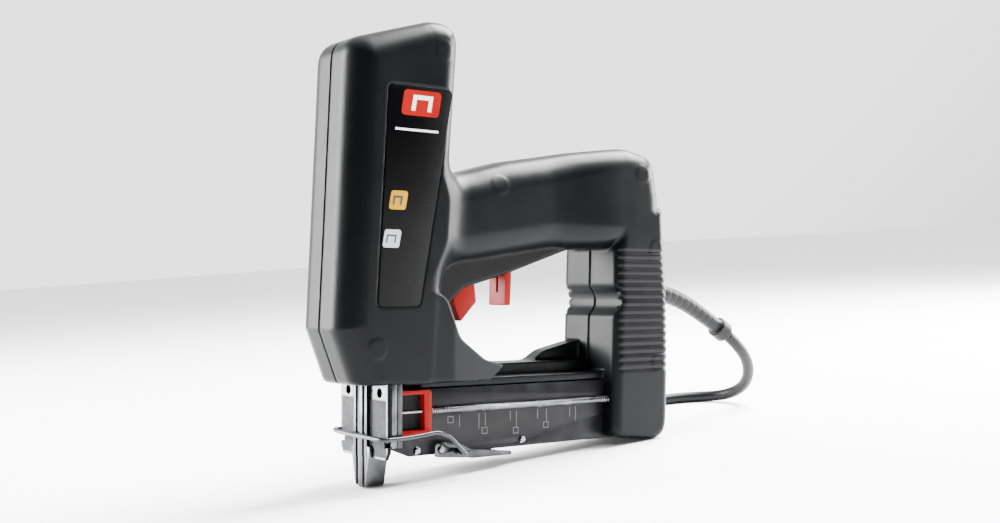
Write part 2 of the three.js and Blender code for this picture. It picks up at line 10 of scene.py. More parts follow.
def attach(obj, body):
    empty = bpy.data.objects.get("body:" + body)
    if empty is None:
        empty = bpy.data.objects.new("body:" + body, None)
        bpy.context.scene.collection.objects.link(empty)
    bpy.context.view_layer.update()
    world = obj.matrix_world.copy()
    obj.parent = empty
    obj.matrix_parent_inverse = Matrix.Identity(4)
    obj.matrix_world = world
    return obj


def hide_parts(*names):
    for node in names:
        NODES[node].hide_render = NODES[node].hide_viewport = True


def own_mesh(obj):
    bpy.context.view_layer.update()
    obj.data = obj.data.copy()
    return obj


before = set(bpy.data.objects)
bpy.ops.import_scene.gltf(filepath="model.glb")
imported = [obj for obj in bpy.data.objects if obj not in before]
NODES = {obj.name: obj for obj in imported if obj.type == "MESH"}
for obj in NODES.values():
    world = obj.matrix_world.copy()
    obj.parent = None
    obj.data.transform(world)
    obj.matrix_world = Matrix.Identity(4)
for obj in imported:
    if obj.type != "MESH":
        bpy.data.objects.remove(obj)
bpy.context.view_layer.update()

# Tool coordinates are millimetres: X from the nose to the rear, +Y right, Z up, nose tip at Z = 0.
# The tool stands tilted by TILT on its nose tip and foot.
MM = 0.001
TILT = math.radians(4.5)
STAND = Vector((-88.91, 0, 0.88))
TO_ROW = Matrix.Scale(MM, 4) @ Matrix.Translation(STAND) @ Matrix.Rotation(TILT, 4, "Y")

BORE_GAP = 0.15
TOWER_HALF = 24.0
GRIP_HALF = 19.5
WALL = 2.6
SPRING_Y = -15.6
SPRING_Z = 36.5
CORD_D = 7.0


# ---------------------------------------------------------------- materials
def new_material(name):
    material = bpy.data.materials.new(name)
    material.use_nodes = True
    nodes = material.node_tree.nodes
    return material, nodes, material.node_tree.links, nodes["Principled BSDF"]


def noise(nodes, links, scale, detail=3.0, rough=0.5, stretch=(1, 1, 1)):
    coords = nodes.new("ShaderNodeTexCoord")
    mapping = nodes.new("ShaderNodeMapping")
    mapping.inputs["Scale"].default_value = stretch
    texture = nodes.new("ShaderNodeTexNoise")
    texture.inputs["Scale"].default_value = scale
    texture.inputs["Detail"].default_value = detail
    texture.inputs["Roughness"].default_value = rough
    links.new(coords.outputs["Object"], mapping.inputs["Vector"])
    links.new(mapping.outputs["Vector"], texture.inputs["Vector"])
    return texture.outputs["Fac"]


def ramp(nodes, links, fac, stops):
    node = nodes.new("ShaderNodeValToRGB")
    elements = node.color_ramp.elements
    while len(elements) < len(stops):
        elements.new(0.5)
    for element, (place, color) in zip(elements, stops):
        element.position = place
        element.color = (*color, 1)
    links.new(fac, node.inputs["Fac"])
    return node.outputs["Color"]


def grey_ramp(nodes, links, fac, low, high, start=0.3, end=0.7):
    return ramp(nodes, links, fac, [(start, (low,) * 3), (end, (high,) * 3)])


def bump(nodes, links, shader, height, strength, distance):
    node = nodes.new("ShaderNodeBump")
    node.inputs["Strength"].default_value = strength
    node.inputs["Distance"].default_value = distance
    links.new(height, node.inputs["Height"])
    links.new(node.outputs["Normal"], shader.inputs["Normal"])


def plastic(name, dark, light, rough, grain=2200.0, strength=0.25, sheen=0.5):
    """Moulded plastic: a fine spark-eroded grain, faint colour drift and patches of wear gloss."""
    material, nodes, links, shader = new_material(name)
    color = ramp(nodes, links, noise(nodes, links, 30.0), [(0.3, dark), (0.7, light)])
    links.new(color, shader.inputs["Base Color"])
    patches = noise(nodes, links, 55.0, 5.0)
    links.new(grey_ramp(nodes, links, patches, rough[0], rough[1]), shader.inputs["Roughness"])
    shader.inputs["Specular IOR Level"].default_value = sheen
    bump(nodes, links, shader, noise(nodes, links, grain, 2.0), strength, 0.00012)
    return material


def metal(name, dark, light, rough, stretch=(1, 1, 1), grain=900.0, strength=0.12):
    """Bare or blackened steel: grinding lines along the stretched axis and mottled roughness."""
    material, nodes, links, shader = new_material(name)
    color = ramp(nodes, links, noise(nodes, links, 120.0, 4.0), [(0.3, dark), (0.7, light)])
    links.new(color, shader.inputs["Base Color"])
    patches = noise(nodes, links, 160.0, 6.0)
    links.new(grey_ramp(nodes, links, patches, rough[0], rough[1]), shader.inputs["Roughness"])
    shader.inputs["Metallic"].default_value = 1.0
    bump(nodes, links, shader, noise(nodes, links, grain, 3.0, 0.6, stretch), strength, 0.00006)
    return material


HOUSING = plastic("housing_plastic", (0.0014, 0.0015, 0.0019), (0.0024, 0.0026, 0.0032), (0.3, 0.37),
                  strength=0.12, sheen=0.07)
LABEL_FACE = plastic("label_face", (0.0006, 0.0006, 0.0007), (0.001, 0.001, 0.0012), (0.26, 0.32),
                     900.0, 0.05, 0.05)
RED = plastic("red_plastic", (0.13, 0.001, 0.0003), (0.17, 0.0015, 0.0005), (0.36, 0.44), 1500.0, 0.12, 0.08)
PRINT_RED = plastic("print_red", (0.15, 0.001, 0.0004), (0.19, 0.0015, 0.0006), (0.35, 0.4),
                    900.0, 0.03, 0.08)
PRINT_WHITE = plastic("print_white", (0.6, 0.6, 0.59), (0.66, 0.66, 0.65), (0.35, 0.4), 900.0, 0.03)
PRINT_YELLOW = plastic("print_yellow", (0.28, 0.15, 0.0005), (0.33, 0.18, 0.001), (0.35, 0.4),
                       900.0, 0.03, 0.08)
PRINT_GREY = plastic("print_grey", (0.26, 0.27, 0.29), (0.3, 0.31, 0.33), (0.35, 0.4), 900.0, 0.03)
ETCHED = plastic("etched_line", (0.035, 0.035, 0.035), (0.06, 0.06, 0.06), (0.4, 0.5), 900.0, 0.05, 0.4)
PRINT_DARK = plastic("print_dark", (0.01, 0.01, 0.01), (0.014, 0.014, 0.014), (0.35, 0.4), 900.0, 0.03)
RUBBER = plastic("cord_rubber", (0.002, 0.002, 0.0024), (0.004, 0.004, 0.0046), (0.36, 0.46),
                 1400.0, 0.2, 0.12)
TIE = plastic("tie_plastic", (0.02, 0.02, 0.022), (0.03, 0.03, 0.032), (0.3, 0.4), 1400.0, 0.15)
NYLON = plastic("bobbin_nylon", (0.72, 0.7, 0.62), (0.8, 0.78, 0.7), (0.4, 0.5), 1400.0, 0.1)
BOARD = plastic("board_resin", (0.03, 0.16, 0.06), (0.05, 0.24, 0.08), (0.3, 0.45), 400.0, 0.1)
STEEL = metal("bright_steel", (0.12, 0.12, 0.125), (0.22, 0.22, 0.225), (0.2, 0.34), (1, 1, 14))
NOSE_STEEL = metal("nose_steel", (0.035, 0.035, 0.038), (0.08, 0.08, 0.085), (0.16, 0.3), (1, 1, 14))
SPRING_STEEL = metal("spring_steel", (0.16, 0.16, 0.165), (0.3, 0.3, 0.31), (0.16, 0.3))
WIRE_STEEL = metal("wire_steel", (0.025, 0.025, 0.027), (0.06, 0.06, 0.063), (0.16, 0.28))
DARK_STEEL = metal("dark_steel", (0.025, 0.025, 0.027), (0.05, 0.05, 0.053), (0.3, 0.45))
COPPER = metal("winding_copper", (0.5, 0.17, 0.05), (0.66, 0.27, 0.09), (0.22, 0.34), (1, 1, 60), 600.0, 0.5)


def black_steel():
    """Black oxide sheet: dark satin paint over steel with a few scuffs."""
    material, nodes, links, shader = new_material("black_steel")
    stops = [(0.35, (0.004, 0.004, 0.0045)), (0.75, (0.009, 0.009, 0.01))]
    color = ramp(nodes, links, noise(nodes, links, 60.0, 6.0), stops)
    links.new(color, shader.inputs["Base Color"])
    patches = noise(nodes, links, 200.0, 6.0)
    links.new(grey_ramp(nodes, links, patches, 0.28, 0.46), shader.inputs["Roughness"])
    shader.inputs["Metallic"].default_value = 0.25
    shader.inputs["Specular IOR Level"].default_value = 0.15
    bump(nodes, links, shader, noise(nodes, links, 1200.0, 3.0), 0.15, 0.00008)
    return material


BLACK_STEEL = black_steel()
# Web plastic: a coarse real grain, and a base colour darker than the housing as painted shade for the deep web.
GRAINED_SHADE = plastic("housing_grained_shade", (0.001, 0.001, 0.0012), (0.002, 0.002, 0.0024), (0.4, 0.55),
                   700.0, 0.9, 0.08)


def floor_material():
    material, nodes, links, shader = new_material("studio_floor")
    color = grey_ramp(nodes, links, noise(nodes, links, 8.0), 0.86, 0.9)
    links.new(color, shader.inputs["Base Color"])
    shader.inputs["Roughness"].default_value = 0.75
    return material


# ---------------------------------------------------------------- mesh helpers
def add_piece(name, points, faces, material, body="housing", smooth=True, row=False):
    """A mesh piece from points in tool millimetres, or in row millimetres when row is set."""
    place = Matrix.Scale(MM, 4) if row else TO_ROW
    mesh = bpy.data.meshes.new(name)
    mesh.from_pydata([place @ Vector(p) for p in points], [], faces)
    mesh.materials.append(material)
    mesh.validate()
    mesh.polygons.foreach_set("use_smooth", [smooth] * len(mesh.polygons))
    obj = bpy.data.objects.new(name, mesh)
    bpy.context.scene.collection.objects.link(obj)
    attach(obj, body)
    return obj


def apply_modifiers(obj):
    depsgraph = bpy.context.evaluated_depsgraph_get()
    mesh = bpy.data.meshes.new_from_object(obj.evaluated_get(depsgraph))
    obj.modifiers.clear()
    obj.data = mesh
    return obj


def shade_by_angle(obj, degrees):
    mesh = obj.data
    mesh.polygons.foreach_set("use_smooth", [True] * len(mesh.polygons))
    mesh.set_sharp_from_angle(angle=math.radians(degrees))


def refined(node, material, bevel=0.3, segments=2, body="housing", angle=30.0):
    """A copy of a CAD node with its flat facets merged and its edges rounded, standing for the node."""
    source = NODES[node]
    mesh = source.data.copy()
    mesh.name = node + "_look"
    obj = bpy.data.objects.new(node + "_look", mesh)
    bpy.context.scene.collection.objects.link(obj)
    work = bmesh.new()
    work.from_mesh(mesh)
    bmesh.ops.remove_doubles(work, verts=work.verts, dist=2e-6)
    bmesh.ops.dissolve_limit(work, angle_limit=math.radians(1.0), verts=work.verts, edges=work.edges)
    work.to_mesh(mesh)
    work.free()
    rounding = obj.modifiers.new("rounding", "BEVEL")
    rounding.width = bevel * MM
    rounding.segments = segments
    rounding.limit_method = "ANGLE"
    rounding.angle_limit = math.radians(angle)
    rounding.use_clamp_overlap = True
    rounding.harden_normals = False
    apply_modifiers(obj)
    obj.data.materials.clear()
    obj.data.materials.append(material)
    shade_by_angle(obj, 40)
    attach(obj, body)
    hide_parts(node)
    return obj


def frames_along(points):
    """Unit tangents and two unit normals carried along a list of points without twist."""
    points = np.asarray(points, float)
    tangent = np.gradient(points, axis=0)
    tangent /= np.linalg.norm(tangent, axis=1)[:, None]
    start = np.array([0.0, 0.0, 1.0]) if abs(tangent[0][2]) < 0.9 else np.array([1.0, 0.0, 0.0])
    side = np.zeros_like(points)
    side[0] = start - tangent[0] * start.dot(tangent[0])
    side[0] /= np.linalg.norm(side[0])
    for i in range(1, len(points)):
        carried = side[i - 1] - tangent[i] * side[i - 1].dot(tangent[i])
        side[i] = carried / np.linalg.norm(carried)
    return tangent, side, np.cross(tangent, side)


def tube_mesh(points, radii, sides=12):
    """Rings of points round a path, with closed ends."""
    points = np.asarray(points, float)
    radii = np.broadcast_to(radii, len(points))
    _, side, other = frames_along(points)
    angles = np.arange(sides) * 2 * math.pi / sides
    around = (np.cos(angles)[None, :, None] * side[:, None]
              + np.sin(angles)[None, :, None] * other[:, None])
    rings = points[:, None] + radii[:, None, None] * around
    verts = rings.reshape(-1, 3).tolist()
    faces = []
    for i in range(len(points) - 1):
        for j in range(sides):
            k = (j + 1) % sides
            faces.append((i * sides + j, i * sides + k, (i + 1) * sides + k, (i + 1) * sides + j))
    faces.append(tuple(reversed(range(sides))))
    last = (len(points) - 1) * sides
    faces.append(tuple(range(last, last + sides)))
    return verts, faces


def smooth_path(points, spacing):
    """A centripetal curve through points, sampled about every spacing."""
    points = [np.asarray(p, float) for p in points]
    points = [2 * points[0] - points[1]] + points + [2 * points[-1] - points[-2]]
    result = []
    for i in range(1, len(points) - 2):
        p0, p1, p2, p3 = points[i - 1:i + 3]
        knots = [0.0]
        for a, b in ((p0, p1), (p1, p2), (p2, p3)):
            knots.append(knots[-1] + max(np.linalg.norm(b - a), 1e-6) ** 0.5)
        steps = max(1, int(math.ceil(np.linalg.norm(p2 - p1) / spacing)))
        for n in range(steps):
            t = knots[1] + (knots[2] - knots[1]) * n / steps
            a1 = ((knots[1] - t) * p0 + (t - knots[0]) * p1) / (knots[1] - knots[0])
            a2 = ((knots[2] - t) * p1 + (t - knots[1]) * p2) / (knots[2] - knots[1])
            a3 = ((knots[3] - t) * p2 + (t - knots[2]) * p3) / (knots[3] - knots[2])
            b1 = ((knots[2] - t) * a1 + (t - knots[0]) * a2) / (knots[2] - knots[0])
            b2 = ((knots[3] - t) * a2 + (t - knots[1]) * a3) / (knots[3] - knots[1])
            result.append(((knots[2] - t) * b1 + (t - knots[1]) * b2) / (knots[2] - knots[1]))
    result.append(points[-2])
    return np.array(result)



# ---------------------------------------------------------------- camera, set by the tool's own frame
VIEW_TURN = math.radians(36.5)
VIEW_DISTANCE = 600.0
VIEW_SIDE = 68.5
VIEW_HEIGHT = 94.5
LENS = 44.3
HORIZON_SHIFT = 0.0315


def make_camera():
    forward = Vector((math.sin(VIEW_TURN), math.cos(VIEW_TURN), 0))
    right = Vector((math.cos(VIEW_TURN), -math.sin(VIEW_TURN), 0))
    place = -forward * VIEW_DISTANCE + right * VIEW_SIDE + Vector((0, 0, VIEW_HEIGHT))
    turn = Matrix((right, Vector((0, 0, 1)), -forward)).transposed()
    camera = bpy.data.objects.new("camera", bpy.data.cameras.new("camera"))
    camera.data.lens = LENS
    camera.data.sensor_width = 36.0
    camera.data.shift_y = HORIZON_SHIFT
    camera.data.clip_start = 0.01
    camera.data.clip_end = 50.0
    rotation = Matrix.Rotation(TILT, 3, "Y") @ turn
    camera.matrix_world = Matrix.Translation(TO_ROW @ place) @ rotation.to_4x4()
    bpy.context.scene.collection.objects.link(camera)
    bpy.context.scene.camera = camera


make_camera()

# ---------------------------------------------------------------- mains lead
# The lead in row millimetres, from the strain relief to the coil behind the tool.
LEAD = [
    (172.5, 0, 50.2), (180.9, 0.2, 43.3), (189.6, 2.2, 36.1), (197.6, 6.4, 28.5), (204.3, 12.5, 21),
    (209, 20.1, 14.2), (211.6, 28.6, 9.2), (211.8, 37.6, 5.8), (209.6, 46.2, 4.1), (205.2, 54, 3.6),
    (197, 61.1, 3.6), (187.3, 65.8, 3.6), (176.5, 68, 3.6), (157.5, 68.2, 3.6), (137.5, 66.6, 3.6),
    (115.5, 64.2, 3.6), (95.5, 63.5, 3.6), (78.9, 63.5, 3.6),
]
COIL = {"x": 43.5, "y": 102.0, "mean": 38.5, "base": 1.4, "rows": 3, "step": 6.95}
PLUG_X = 89.5
PLUG_Y = COIL["y"] + COIL["mean"]
PLUG_Z = 6.95


def coil_points():
    """Nine and a half turns, three across and three high, clockwise from the near side."""
    x, y, step = COIL["x"], COIL["y"], COIL["step"]
    base = COIL["base"] + CORD_D / 2
    lanes = [(0, 0), (-1, 0), (-1, 1), (-1, 2), (0, 2), (1, 2), (1, 1), (1, 0), (0, 1)]
    per_turn = 36
    turns = len(lanes)
    total = turns * per_turn + per_turn // 2
    points = []
    for n in range(total + 1):
        turn = min(n // per_turn, turns - 1)
        part = (n - turn * per_turn) / per_turn
        here = lanes[turn]
        after = lanes[min(turn + 1, turns - 1)]
        blend = min(max((part - 0.78) / 0.22, 0.0), 1.0)
        blend = blend * blend * (3 - 2 * blend)
        lane = here[0] + (after[0] - here[0]) * blend
        row = here[1] + (after[1] - here[1]) * blend
        radius = COIL["mean"] + lane * step
        angle = -math.pi / 2 - 2 * math.pi * n / per_turn
        points.append((x + radius * math.cos(angle), y + radius * math.sin(angle), base + row * step))
    return points


def make_cord():
    tail = [(65.5, PLUG_Y, 11.6), (79.5, PLUG_Y, 10), (85.5, PLUG_Y, 8.2), (PLUG_X - 0.3, PLUG_Y, PLUG_Z)]
    lead_in = [(60.5, 63.4, 4.3)]
    route = LEAD + lead_in + coil_points() + tail
    path = smooth_path(route, 3.2)
    verts, faces = tube_mesh(path, CORD_D / 2, 12)
    cord = add_piece("mains_cord", verts, faces, RUBBER, "housing", row=True)
    length = float(np.linalg.norm(np.diff(path, axis=0), axis=1).sum()) * MM
    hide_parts("cord_lead", "cord_coil", "cord_tail")
    return cord, length, [tuple(p * MM) for p in path]


cord, cord_length, cord_path = make_cord()

# ---------------------------------------------------------------- solids from distance fields
def corner_outline(corners, steps=6):
    """Points of a closed outline through [u, v, radius] corners, each corner eased by a quadratic."""
    points = []
    count = len(corners)
    for i, corner in enumerate(corners):
        here = np.array(corner[:2], float)
        radius = corner[2] if len(corner) > 2 else 0.0
        if radius == 0:
            points.append(here)
            continue
        back = np.array(corners[i - 1][:2], float) - here
        ahead = np.array(corners[(i + 1) % count][:2], float) - here
        back /= np.linalg.norm(back)
        ahead /= np.linalg.norm(ahead)
        setback = radius / math.tan(math.acos(np.clip(back.dot(ahead), -1, 1)) / 2)
        start, end = here + back * setback, here + ahead * setback
        for n in range(steps + 1):
            t = n / steps
            points.append((1 - t) ** 2 * start + 2 * t * (1 - t) * here + t * t * end)
    return np.array(points)


def outline_distance(u, v, corners):
    """Signed distance to an outline, negative inside; u and v broadcast together."""
    u, v = np.broadcast_arrays(np.asarray(u, float), np.asarray(v, float))
    polygon = corner_outline(corners)
    nearest = np.full(u.shape, 1e9)
    inside = np.zeros(u.shape, bool)
    for (au, av), (bu, bv) in zip(polygon, np.roll(polygon, -1, axis=0)):
        eu, ev = bu - au, bv - av
        along = np.clip(((u - au) * eu + (v - av) * ev) / max(eu * eu + ev * ev, 1e-12), 0, 1)
        nearest = np.minimum(nearest, (u - au - eu * along) ** 2 + (v - av - ev * along) ** 2)
        if av != bv:
            inside ^= ((av > v) != (bv > v)) & (u < eu * (v - av) / ev + au)
    return np.where(inside, -1, 1) * np.sqrt(nearest)


def thick(flat, across, half, edge):
    """A flat distance given a thickness of twice half, with its rims rounded by edge."""
    p, q = flat + edge, np.abs(across) - half + edge
    return np.minimum(np.maximum(p, q), 0) + np.hypot(np.maximum(p, 0), np.maximum(q, 0)) - edge


def soft_union(a, b, ease):
    share = np.clip(0.5 + 0.5 * (b - a) / ease, 0, 1)
    return b * (1 - share) + a * share - ease * share * (1 - share)


def soft_cut(body, tool, ease):
    return -soft_union(-body, tool, ease)


def block(x, y, z, spans):
    (x0, x1), (y0, y1), (z0, z1) = spans
    plan = np.maximum(np.maximum(x0 - x, x - x1), np.maximum(y0 - y, y - y1))
    return np.maximum(plan, np.maximum(z0 - z, z - z1))


def sample(field, place):
    """Trilinear values of a field at places given in cells."""
    low = np.clip(np.floor(place).astype(int), 0, np.array(field.shape) - 2)
    part = place - low
    value = np.zeros(len(place))
    for dx in (0, 1):
        for dy in (0, 1):
            for dz in (0, 1):
                weight = ((part[:, 0] if dx else 1 - part[:, 0]) * (part[:, 1] if dy else 1 - part[:, 1])
                          * (part[:, 2] if dz else 1 - part[:, 2]))
                value += weight * field[low[:, 0] + dx, low[:, 1] + dy, low[:, 2] + dz]
    return value


def surface_net(field, origin, step):
    """Vertices, quads and vertex normals of the zero surface of a field on a regular grid."""
    shape = np.array(field.shape)
    cells = shape - 1
    total = int(np.prod(cells))
    sums = np.zeros((total, 3))
    counts = np.zeros(total)
    edges = []
    for axis in range(3):
        low = [slice(None)] * 3
        high = [slice(None)] * 3
        low[axis], high[axis] = slice(0, -1), slice(1, None)
        a, b = field[tuple(low)], field[tuple(high)]
        places = np.argwhere((a < 0) != (b < 0))
        va, vb = a[tuple(places.T)], b[tuple(places.T)]
        points = places.astype(float)
        points[:, axis] += va / (va - vb)
        others = [n for n in range(3) if n != axis]
        ring = []
        for d0, d1 in ((0, 0), (1, 0), (1, 1), (0, 1)):
            cell = places.copy()
            cell[:, others[0]] -= d0
            cell[:, others[1]] -= d1
            good = np.all((cell >= 0) & (cell < cells), axis=1)
            ids = np.where(good, cell[:, 0] * cells[1] * cells[2] + cell[:, 1] * cells[2] + cell[:, 2], -1)
            ring.append(ids)
            counts += np.bincount(ids[good], minlength=total)
            for n in range(3):
                sums[:, n] += np.bincount(ids[good], weights=points[good, n], minlength=total)
        edges.append((axis, np.stack(ring, axis=1), va < 0))
    used = counts > 0
    index = np.cumsum(used) - 1
    places = sums[used] / counts[used, None]
    gradients = np.gradient(field)
    scale = np.array(step)
    for _ in range(2):
        value = sample(field, places)
        slope = np.stack([sample(g, places) for g in gradients], axis=1) / scale
        move = -value[:, None] * slope / np.maximum((slope ** 2).sum(1), 0.25)[:, None]
        places += np.clip(move / scale, -0.6, 0.6)
    slope = np.stack([sample(g, places) for g in gradients], axis=1) / scale
    normals = slope / np.maximum(np.linalg.norm(slope, axis=1), 1e-9)[:, None]
    quads = []
    for axis, ring, starts_inside in edges:
        whole = np.all(ring >= 0, axis=1)
        ids = index[ring[whole]]
        flip = starts_inside[whole] if axis != 1 else ~starts_inside[whole]
        ids[~flip] = ids[~flip][:, ::-1]
        quads.append(ids)
    return np.array(origin) + places * scale, np.concatenate(quads), normals


def net_piece(name, shape, spans, step, material, body="housing"):
    """A piece from a distance function over a box of tool millimetres."""
    axes = [np.arange(low, high + gap * 0.5, gap) for (low, high), gap in zip(spans, step)]
    field = shape(axes[0][:, None, None], axes[1][None, :, None], axes[2][None, None, :])
    points, quads, normals = surface_net(field, [axis[0] for axis in axes], step)
    obj = add_piece(name, points.tolist(), quads.tolist(), material, body)
    turn = np.array(Matrix.Rotation(TILT, 3, "Y"))
    if len(obj.data.vertices) == len(normals):
        obj.data.normals_split_custom_set_from_vertices((normals @ turn.T).tolist())
    return obj


# ---------------------------------------------------------------- housing shape
TOWER = [(-4.5, 30), (31.4, 30), (47, 229.8, 13), (29, 227.9, 10), (-15.2, 214.9, 12), (-20.1, 120, 0),
         (-22.4, 77, 6)]
HANDLE = [(6, 103), (62, 110, 60), (112, 117.5, 60), (150, 119), (184.6, 106), (183, 148, 20),
          (178.7, 171, 12), (159, 174.8, 30), (123, 170.3, 90), (82, 163.3, 90), (58, 157, 60), (6, 147)]
COLUMN = [(145, 16.3, 6), (185.4, 11.5, 12), (186.6, 61), (186, 90.5), (183.6, 119), (182.4, 142), (154, 140),
          (148, 118)]
WEB = [(28, 82), (37, 82), (55, 97), (84, 105), (125, 118.5), (125, 124), (28, 124)]
FLARE = [(4, 50.5), (66, 50.5), (76, 57.5, 1), (62, 61, 10), (45, 72, 12), (36, 95, 10), (4, 95)]
FLARE_PLAN = [(2, -24), (20, -24, 8), (40, -23.5, 8), (77, -16.5), (77, 16.5),
              (40, 23.5, 8), (20, 24, 8), (2, 24)]
GUSSET = [(110, 56), (152, 56), (152, 69), (140, 67, 20), (122, 63, 14)]
LABEL = [(-4, 88, 3), (19.5, 88, 3), (39, 194, 3), (2.5, 194, 3)]
SCREWS = [(34, 213), (-4, 68), (72, 150), (166, 160), (176, 119), (178, 56)]
TOWER_BOTTOM = 50.5
RIB_COUNT = 16
RIB_PITCH = 4.3
RIB_TOP = 118.0
RIB_DEPTH = 0.9
SCOOP = (142.5, 90.5)
SCOOP_RADIUS = 9
SCREW_BOSS = 4.6
SCREW_BORE = 2.0
SCREW_RECESS = 3.9
RECESS_DEPTH = 5.3
CORD_HEIGHT = 94.5
CORD_HOLE = 5.6
CORD_HOLE_START = 176
POCKET_GAP = 0.35
POCKET_DEPTH = 0.7


def outer_form(x, y, z):
    """The housing's outer skin: tower, handle, column, web and the flare over the magazine."""
    edge = 14 - 3 * np.clip((x + 15) / 40, 0, 1)
    tower = thick(outline_distance(x, z, TOWER), y, TOWER_HALF, edge)
    tower = soft_cut(tower, z - TOWER_BOTTOM, 2.5)
    widen = np.clip((x - 105) / 45, 0, 1)
    handle_half = GRIP_HALF + (TOWER_HALF - GRIP_HALF) * widen * widen * (3 - 2 * widen)
    handle = thick(outline_distance(x, z, HANDLE), y, handle_half, 15.5 - 3 * widen)
    column = thick(outline_distance(x, z, COLUMN), y, TOWER_HALF, 5)
    web = thick(outline_distance(x, z, WEB), y, 11.5, 2)
    plan = outline_distance(x, y, FLARE_PLAN)
    flare = np.maximum(thick(outline_distance(x, z, FLARE), y, TOWER_HALF, 3), plan)
    left_bar = block(x, y, z, ((26, 152), (-13.4, 1), (47.6, 51.6)))
    right_bar = block(x, y, z, ((26, 152), (0, 20), (47.6, 57.5)))
    gusset = np.maximum(outline_distance(x, z, GUSSET), np.abs(y - 13) - 5)
    form = soft_union(tower, handle, 14)
    form = soft_union(form, column, 1.5)
    form = soft_union(form, web, 1.0)
    form = soft_union(form, flare, 1.6)
    form = soft_union(form, np.minimum(left_bar, right_bar), 1.5)
    form = soft_union(form, gusset, 1.5)
    return np.maximum(form, np.abs(y) - TOWER_HALF)


def rib_grooves(x, y, z):
    """Shallow grooves across both sides of the column, each with an eased lower lip."""
    phase = np.mod(RIB_TOP - z, RIB_PITCH)
    row = np.floor((RIB_TOP - z) / RIB_PITCH)
    inside = (row >= 0) & (row < RIB_COUNT) & (x > 148.6)
    rise = np.clip(1 - np.abs(phase - 0.85) / 1.05, 0, 1)
    rise = rise * rise * (3 - 2 * rise)
    return np.where(inside, RIB_DEPTH * rise, 0) * np.clip((np.abs(y) - 19) / 2, 0, 1)


def housing_field(side):
    def field(x, y, z):
        outer = soft_cut(outer_form(x, y, z), np.hypot(x - SCOOP[0], z - SCOOP[1]) - SCOOP_RADIUS, 2.0)
        inner = outer + WALL
        skin = outer + rib_grooves(x, y, z)
        shell = np.maximum(skin, -inner)
        for sx, sz in SCREWS:
            from_screw = np.hypot(x - sx, z - sz)
            boss = np.maximum(from_screw - SCREW_BOSS, skin)
            shell = soft_union(shell, boss, 0.8)
            bore = np.maximum(from_screw - SCREW_BORE, -13 - y)
            half = GRIP_HALF if 60 < sx < 175 else TOWER_HALF
            recess = np.maximum(from_screw - SCREW_RECESS, half - RECESS_DEPTH - y)
            shell = np.maximum(shell, -np.minimum(bore, recess))
        cuts = [
            ((8, 177.5), (-13.7, 13.7), (0, 47.3)),  # magazine
            ((140, 176), (-18.2, -13), (33.5, 39.5)),  # guide rod and spring
            ((1.9, 11.2), (-22.8, 22.8), (45, 64)),  # nose plates
            ((4, 9), (-4, 4), (40, 80)),  # driver blade
            ((80, 93), (-7.5, 7.5), (95, 122)),  # trigger
            ((49, 66.5), (-7.5, 7.5), (76, 116)),  # lock button
            ((8, 66), (-400, -13.4), (40, 49.2)),  # pusher grip
        ]
        for spans in cuts:
            shell = soft_cut(shell, block(x, y, z, spans), 0.5)
        cord_hole = np.maximum(np.hypot(y, z - CORD_HEIGHT) - CORD_HOLE, CORD_HOLE_START - x)
        shell = np.maximum(shell, -cord_hole)
        pocket = np.maximum(outline_distance(x, z, LABEL) - POCKET_GAP, y + TOWER_HALF - POCKET_DEPTH)
        shell = np.maximum(shell, -pocket)
        return np.maximum(shell, side * -y + BORE_GAP)
    return field


HOUSING_STEP = (0.9, 0.8, RIB_PITCH / 6)
HALF_SPANS = {-1: (-25.6, 0.6), 1: (-0.6, 25.6)}


def grain_and_shade_web(obj):
    """The web set back under the grip gets a coarse moulding grain and a darker colour than the housing, which
    is painted shade.
    """
    mesh = obj.data
    centres = np.zeros(len(mesh.polygons) * 3)
    mesh.polygons.foreach_get("center", centres)
    back = np.array(TO_ROW.inverted())
    centres = centres.reshape(-1, 3) @ back[:3, :3].T + back[:3, 3]
    x, y, z = centres.T
    # faces of the web under the grip, which get the darker painted-shade material
    web_shade_mask = (outline_distance(x, z, WEB) < 0.4) & (np.abs(y) < 12.2) & (x > 34)
    mesh.polygons.foreach_set("material_index", web_shade_mask.astype(np.int32))


def make_housing():
    for side, node in ((-1, "left_housing"), (1, "right_housing")):
        spans = ((-26, 202), HALF_SPANS[side], (9, 232))
        step = HOUSING_STEP
        obj = net_piece(node + "_moulding", housing_field(side), spans, step,
                        HOUSING, "housing")
        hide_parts(node)
        # second material: grain plus painted shade on the web under the grip
        obj.data.materials.append(GRAINED_SHADE)
        grain_and_shade_web(obj)


make_housing()


# ---------------------------------------------------------------- nose
PLATE_FRONT = 2.2
PLATE_BACK = 4.4
KNURL_PITCH = 1.9
KNURL_DEPTH = 0.5
PLATE_HOLE = (15, 46.5)
PLATE_BORE = 2.3
FULL_SHADE_DEPTH = 0.45


def tri_wave(u):
    return 1 - 2 * np.abs(u - np.floor(u) - 0.5)


